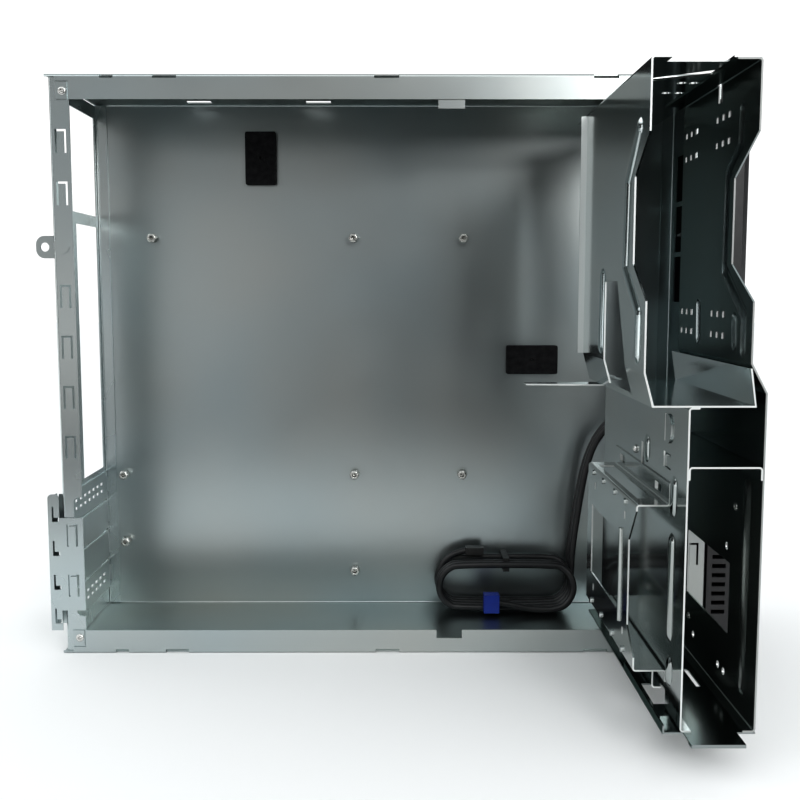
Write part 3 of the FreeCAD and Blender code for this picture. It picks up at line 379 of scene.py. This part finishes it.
# Y of the normal at which a face begins to count as an edge, and at which it is one in full
EDGE_FACING = (-0.9, -0.97)
BAY_TONE, BAY_ROUGHNESS = shade(SHEET_TONE, 1.12), 0.13
PARTITION_TONE, PARTITION_ROUGHNESS = shade(SHEET_TONE, 0.85), 0.12
# The side cover and its edges are darker, and low in grazing return, as painted shade for its inner face.
SIDE_SHADED_TONE, SIDE_ROUGHNESS = shade(SHEET_TONE, 0.8), 0.24
SIDE_EDGE_SHADED_TONE = shade(EDGE_TONE, 0.5)
SMALL_BAY_TONE, SMALL_BAY_ROUGHNESS = shade(SHEET_TONE, 0.88), 0.14
# The floor plate is darker, and low in grazing return, as painted shade.
PLATE_SHADED_TONE, PLATE_ROUGHNESS = shade(SHEET_TONE, 0.6), 0.16


def sheared_highlit_sheet(name, tone, roughness, edge_tone=EDGE_TONE, glance=BRIGHT_GLANCE):
    """Zinc-coated sheet whose faces towards -Y are sheared edges of bare metal, paler also as a painted
    highlight.
    """
    material = zinc_sheet(name, tone, roughness, ALONG_Y, glance)
    nodes, links = material.node_tree.nodes, material.node_tree.links
    shader = nodes["Principled BSDF"]
    facing = nodes.new("ShaderNodeSeparateXYZ")
    links.new(nodes.new("ShaderNodeTexCoord").outputs["Normal"], facing.inputs["Vector"])
    edge = nodes.new("ShaderNodeMapRange")
    edge.inputs["From Min"].default_value, edge.inputs["From Max"].default_value = EDGE_FACING
    links.new(facing.outputs["Y"], edge.inputs["Value"])
    for socket, kind, edge_value in (("Base Color", "RGBA", (*edge_tone, 1)),
                                     ("Roughness", "FLOAT", EDGE_ROUGHNESS)):
        mix = nodes.new("ShaderNodeMix")
        mix.data_type = kind
        factor, plain, sheared_highlit = (port for port in mix.inputs if port.enabled)
        sheared_highlit.default_value = edge_value
        links.new(edge.outputs["Result"], factor)
        links.new(shader.inputs[socket].links[0].from_socket, plain)
        links.new(next(port for port in mix.outputs if port.enabled), shader.inputs[socket])
    return material


dress(sheared_highlit_sheet("bay_sheet", BAY_TONE, BAY_ROUGHNESS), "optical_bay_frame", "support_leg")
dress(sheared_highlit_sheet("partition_sheet", PARTITION_TONE, PARTITION_ROUGHNESS), "lower_partition",
      "bay_divider")
dress(sheared_highlit_sheet("side_cover_sheet", SIDE_SHADED_TONE, SIDE_ROUGHNESS, SIDE_EDGE_SHADED_TONE, PAINTED_SHADE_GLANCE),
      "cage_side_cover")
dress(sheared_highlit_sheet("bracket_plate", SMALL_BAY_TONE, SMALL_BAY_ROUGHNESS), "small_drive_bracket")
dress(zinc_sheet("floor_plate", PLATE_SHADED_TONE, PLATE_ROUGHNESS, ALONG_Y, PAINTED_SHADE_GLANCE), "cage_floor")

# Front bezel and its two bay covers: black moulded plastic with a fine spark-eroded texture.
# The bezel clips onto the front panel, and the covers snap into its openings.
BEZEL_DARK, BEZEL_LIGHT = (0.010, 0.010, 0.011), (0.016, 0.016, 0.017)
BEZEL_ROUGHNESS = 0.42
BEZEL_GRAIN = 1800
MOULD_CLOUDS = 120
MOULD_GLOSS = 260
MOULD_SPREAD = 0.05
MOULD_STRENGTH = 0.25
MOULD_HEIGHT = 0.0001


def moulded(name, dark, light, roughness, grain):
    """Moulded plastic with an even fine texture."""
    material, nodes, links, shader = new_finish(name)
    tint(nodes, links, noise_field(nodes, links, MOULD_CLOUDS), dark, light, shader.inputs["Base Color"])
    spread(nodes, links, noise_field(nodes, links, MOULD_GLOSS), roughness - MOULD_SPREAD,
           roughness + MOULD_SPREAD, shader.inputs["Roughness"])
    relief(nodes, links, noise_field(nodes, links, grain), MOULD_STRENGTH, MOULD_HEIGHT, shader)
    return material


dress(moulded("bezel_plastic", BEZEL_DARK, BEZEL_LIGHT, BEZEL_ROUGHNESS, BEZEL_GRAIN), "front_bezel",
      "optical_bay_cover", "small_bay_cover")

# Buttons: caps of smoother black plastic.
# Each slides in its hole in the bezel, in front of its push switch.
BUTTON_DARK, BUTTON_LIGHT = (0.012, 0.012, 0.013), (0.018, 0.018, 0.02)
BUTTON_ROUGHNESS = 0.3
BUTTON_GRAIN = 2600
dress(moulded("button_plastic", BUTTON_DARK, BUTTON_LIGHT, BUTTON_ROUGHNESS, BUTTON_GRAIN),
      "power_button", "reset_button")

# Boards, switches, sockets and light pipes: bought parts in the space behind the bezel.
# The boards are laminate under green solder mask, the socket shells are plated and the rest is moulded.
MASK_DARK, MASK_LIGHT = (0.010, 0.05, 0.022), (0.014, 0.07, 0.03)
MASK_ROUGHNESS = 0.35
MASK_GRAIN = 900
FITTING_DARK, FITTING_LIGHT = (0.010, 0.010, 0.010), (0.016, 0.016, 0.016)
FITTING_ROUGHNESS = 0.45
FITTING_GRAIN = 2000
SHELL_TONE, SHELL_ROUGHNESS = (0.72, 0.72, 0.72), 0.2
ROD_DARK, ROD_LIGHT = (0.78, 0.8, 0.82), (0.9, 0.92, 0.93)
ROD_ROUGHNESS = (0.08, 0.16)
ROD_CLOUDS = 500
ROD_GLOSS = 800
ROD_CLEARNESS = 0.6
ROD_REFRACTION = 1.49


def light_pipe(name):
    """Clear plastic rod, slightly clouded."""
    material, nodes, links, shader = new_finish(name)
    tint(nodes, links, noise_field(nodes, links, ROD_CLOUDS), ROD_DARK, ROD_LIGHT,
         shader.inputs["Base Color"])
    spread(nodes, links, noise_field(nodes, links, ROD_GLOSS), *ROD_ROUGHNESS, shader.inputs["Roughness"])
    shader.inputs["Transmission Weight"].default_value = ROD_CLEARNESS
    shader.inputs["IOR"].default_value = ROD_REFRACTION
    return material


dress(moulded("solder_mask", MASK_DARK, MASK_LIGHT, MASK_ROUGHNESS, MASK_GRAIN), "switch_board",
      "port_board")
fitting_plastic = moulded("fitting_plastic", FITTING_DARK, FITTING_LIGHT, FITTING_ROUGHNESS, FITTING_GRAIN)
dress(fitting_plastic, "power_switch", "reset_switch", "audio_socket_1", "audio_socket_2")
dress(plated("socket_shell", SHELL_TONE, SHELL_ROUGHNESS), "usb_socket_1", "usb_socket_2")
dress(light_pipe("clear_rod"), "power_light_pipe", "drive_light_pipe")

# Front cables: two black jacketed cables that leave the front wall, run down and are folded into
# hanks standing on the bottom wall, held by one tie. Each ends in its header plug.
JACKET_DARK, JACKET_LIGHT = (0.008, 0.008, 0.009), (0.014, 0.014, 0.015)
JACKET_ROUGHNESS = (0.36, 0.5)
JACKET_CLOUDS = 90
MARK_SCALE = 220
MARK_DETAIL = 3
PLUG_DARK, PLUG_LIGHT = (0.012, 0.03, 0.26), (0.016, 0.045, 0.34)
PLUG_ROUGHNESS = 0.35
PLUG_GRAIN = 1500
FRONT_WALL = 0.1895
TRAY_FACE = 0.0486
USB_DIAMETER, USB_LENGTH = 0.0045, 0.63
PANEL_DIAMETER, PANEL_LENGTH = 0.0042, 0.50
# Points of each route in millimetres: back from the front wall, off the tray, and height
USB_ROUTE = ((6, 29, 138), (24, 29, 138), (40, 27, 131), (52, 24.5, 118), (58, 22.5, 100),
             (61, 20.4, 80), (63.5, 18.6, 60), (65.5, 17.3, 41), (66, 17, 25))
PANEL_ROUTE = ((6, 20, 138), (24, 20, 138), (40, 17.5, 131.5), (51, 14, 118), (57, 10.5, 100),
               (60.5, 7.8, 80), (63.2, 6, 60.5), (65.3, 4.9, 42), (66, 4.6, 26))
# Last stretch of each cable, from its hank into its plug
USB_TAIL = ((82, 30.5, 4.8), (95, 30.2, 5.4), (107, 30, 8.2), (116, 30, 9.6))
PANEL_TAIL = ((154.5, 11.2, 21), (152.5, 11.8, 29.5), (148.5, 12, 34.8), (142, 12, 38.8), (136, 12, 40.1))
# Number of turns, end radius, distance off the tray and pitch of each hank
USB_HANK = (2.17, 0.0150, 0.017, 0.006)
PANEL_HANK = (1.45, 0.0155, 0.0046, 0.0047)
HANK_MIDDLE = 0.1100
HANK_HEIGHT = 0.0196
HALF_RUN = 0.029
# How sharply the straight runs part the end arcs, and the points of one turn
RUN_SHARPNESS = 4
TURN_POINTS = 24
# Steps round a quarter of a cable, steps between its points, and the order of its spline
BEVEL_STEPS, SPLINE_STEPS, SPLINE_ORDER = 4, 6, 3


def route(points):
    """Route points as places in the frame."""
    back, out, height = np.array(points, float).T / 1000
    return np.stack([FRONT_WALL - back, TRAY_FACE - out, height], axis=-1)


def hank_turns(turns, radius, out, pitch):
    """Oval turns: two end arcs of one radius, held apart by the straight runs, each turn further out."""
    turn = np.arange(1 / TURN_POINTS, turns, 1 / TURN_POINTS)
    angle = 2 * math.pi * turn
    run = HALF_RUN * np.clip(RUN_SHARPNESS * np.cos(angle), -1, 1)
    x = FRONT_WALL - HANK_MIDDLE + run + radius * np.cos(angle)
    y = TRAY_FACE - out - pitch * turn
    z = HANK_HEIGHT - radius * np.sin(angle)
    return np.stack([x, y, z], axis=-1)


def jacket(name):
    """Black cable jacket, slightly glossy with faint handling marks."""
    material, nodes, links, shader = new_finish(name)
    tint(nodes, links, noise_field(nodes, links, JACKET_CLOUDS), JACKET_DARK, JACKET_LIGHT,
         shader.inputs["Base Color"])
    spread(nodes, links, noise_field(nodes, links, MARK_SCALE, MARK_DETAIL), *JACKET_ROUGHNESS,
           shader.inputs["Roughness"])
    return material


def cable(name, points, diameter, finish):
    """Round cable whose middle line is a smooth spline through the pull of its points."""
    curve = bpy.data.curves.new(name, "CURVE")
    curve.dimensions = "3D"
    curve.bevel_depth = diameter / 2
    curve.bevel_resolution = BEVEL_STEPS
    curve.resolution_u = SPLINE_STEPS
    curve.use_fill_caps = True
    spline = curve.splines.new("NURBS")
    spline.points.add(len(points) - 1)
    spline.points.foreach_set("co", np.hstack([points, np.ones((len(points), 1))]).ravel())
    spline.order_u = SPLINE_ORDER
    spline.use_endpoint_u = True
    curve.materials.append(finish)
    piece = bpy.data.objects.new(name, curve)
    bpy.context.scene.collection.objects.link(piece)
    return piece


jacket_finish = jacket("cable_jacket_black")
for name, way, hank, tail, length, diameter in (
        ("usb", USB_ROUTE, USB_HANK, USB_TAIL, USB_LENGTH, USB_DIAMETER),
        ("panel", PANEL_ROUTE, PANEL_HANK, PANEL_TAIL, PANEL_LENGTH, PANEL_DIAMETER)):
    line = np.vstack([route(way), hank_turns(*hank), route(tail)])
    piece = cable(f"{name}_cable", line, diameter, jacket_finish)
    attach(piece, "chassis")
    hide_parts(f"{name}_cable_lead", f"{name}_cable_hank")
dress(fitting_plastic, "usb_cable_boot", "panel_cable_boot", "cable_tie", "panel_plug")
dress(moulded("plug_blue", PLUG_DARK, PLUG_LIGHT, PLUG_ROUGHNESS, PLUG_GRAIN), "usb_plug")

# Studio: pale floor, white backdrop, a dome brightest at half height, and six soft lights.
# The camera stands at the photograph's place, and the lights are weighed to give its tones.
FLOOR_HALF = 6.0
FLOOR_FRONT = -0.42
FLOOR_POINTS = 3
FLOOR_TONE, FLOOR_ROUGHNESS = (0.9, 0.9, 0.9), 0.9
FLOOR_SHADE = 0.99
FLOOR_CLOUDS = 3
BACKDROP_TONE = (1, 1, 1)
DOME_LIGHT = 1.8
DOME_TINT = (0.97, 1.0, 1.01)
# Share of the dome's light at four heights, each the sine of the angle above the horizon
DOME_SHARES = ((0.28, 0.01), (0.52, 1.0), (0.66, 1.0), (0.85, 0.35))
# Name, place, aim, width, height and power in watts of each soft light
SOFT_LIGHTS = (
    ("left_light", (-0.8, -2.2, 0.4), (-0.1, 0.0, 0.2), 1.4, 0.9, 1.5),
    ("low_light", (-0.9, -2.2, 0.05), (-0.1, 0.0, 0.1), 1.0, 0.35, 0.65),
    ("side_light", (-1.8, -0.55, 0.35), (0.1, -0.12, 0.2), 1.5, 0.9, 4.5),
    ("right_light", (0.95, -2.2, 0.72), (0.1, 0.0, 0.25), 0.6, 0.6, 6.2),
    ("far_light", (1.5, -2.0, 0.6), (0.1, 0.0, 0.25), 1.2, 1.1, 5),
    ("top_light", (1.0, -2.2, 1.1), (0.1, 0.0, 0.3), 0.9, 0.4, 8),
)
CAMERA_PLACE = (0.00767, -0.64739, 0.21428)
# Angles in radians: how far the camera looks down, and how far it turns
CAMERA_TILT, CAMERA_TURN = 0.106, -0.003
# Focal length and sensor width in millimetres
CAMERA_LENS, CAMERA_SENSOR = 46.91, 36
CAMERA_NEAR = 0.01


def floor_finish(name):
    """Matt pale paint."""
    material, nodes, links, shader = new_finish(name)
    tint(nodes, links, noise_field(nodes, links, FLOOR_CLOUDS), shade(FLOOR_TONE, FLOOR_SHADE),
         FLOOR_TONE, shader.inputs["Base Color"])
    shader.inputs["Roughness"].default_value = FLOOR_ROUGHNESS
    return material


floor_x, floor_y = np.meshgrid(np.linspace(-FLOOR_HALF, FLOOR_HALF, FLOOR_POINTS),
                               np.linspace(FLOOR_FRONT, FLOOR_HALF, FLOOR_POINTS))
floor = surface_piece("studio_floor", [np.stack([floor_x, floor_y, 0 * floor_x], axis=-1)],
                      floor_finish("floor_paint"), wrap=False)

scene = bpy.context.scene
scene.view_settings.view_transform = "Standard"
scene.view_settings.look = "Medium High Contrast"
world = bpy.data.worlds.new("studio_room")
scene.world = world
world.use_nodes = True
sky_nodes, sky_links = world.node_tree.nodes, world.node_tree.links
dome = sky_nodes["Background"]
dome.inputs["Strength"].default_value = DOME_LIGHT
direction = sky_nodes.new("ShaderNodeTexCoord")
height = sky_nodes.new("ShaderNodeSeparateXYZ")
rise = sky_nodes.new("ShaderNodeValToRGB")
rise.color_ramp.interpolation = "EASE"
while len(rise.color_ramp.elements) < len(DOME_SHARES):
    rise.color_ramp.elements.new(1.0)
for stop, (level, share) in zip(rise.color_ramp.elements, DOME_SHARES):
    stop.position = level
    stop.color = (*shade(DOME_TINT, share), 1)
backdrop = sky_nodes.new("ShaderNodeBackground")
backdrop.inputs["Color"].default_value = (*BACKDROP_TONE, 1)
seen = sky_nodes.new("ShaderNodeLightPath")
choice = sky_nodes.new("ShaderNodeMixShader")
sky_links.new(direction.outputs["Generated"], height.inputs["Vector"])
sky_links.new(height.outputs["Z"], rise.inputs["Fac"])
sky_links.new(rise.outputs["Color"], dome.inputs["Color"])
sky_links.new(seen.outputs["Is Camera Ray"], choice.inputs["Fac"])
sky_links.new(dome.outputs["Background"], choice.inputs[1])
sky_links.new(backdrop.outputs["Background"], choice.inputs[2])
sky_links.new(choice.outputs["Shader"], sky_nodes["World Output"].inputs["Surface"])


def soft_light(name, place, aim, width, height, power):
    """Rectangular soft light at a place, turned to face a point."""
    lamp = bpy.data.lights.new(name, "AREA")
    lamp.shape = "RECTANGLE"
    lamp.size = width
    lamp.size_y = height
    lamp.energy = power
    holder = bpy.data.objects.new(name, lamp)
    scene.collection.objects.link(holder)
    holder.location = place
    towards = holder.location.copy()
    towards[:] = np.subtract(aim, place)
    holder.rotation_euler = towards.to_track_quat("-Z", "Y").to_euler()


for light in SOFT_LIGHTS:
    soft_light(*light)

camera_lens = bpy.data.cameras.new("camera")
camera = bpy.data.objects.new("camera", camera_lens)
scene.collection.objects.link(camera)
camera.location = CAMERA_PLACE
camera.rotation_euler = (math.pi / 2 - CAMERA_TILT, 0, CAMERA_TURN)
camera_lens.lens = CAMERA_LENS
camera_lens.sensor_width = CAMERA_SENSOR
camera_lens.clip_start = CAMERA_NEAR
scene.camera = camera
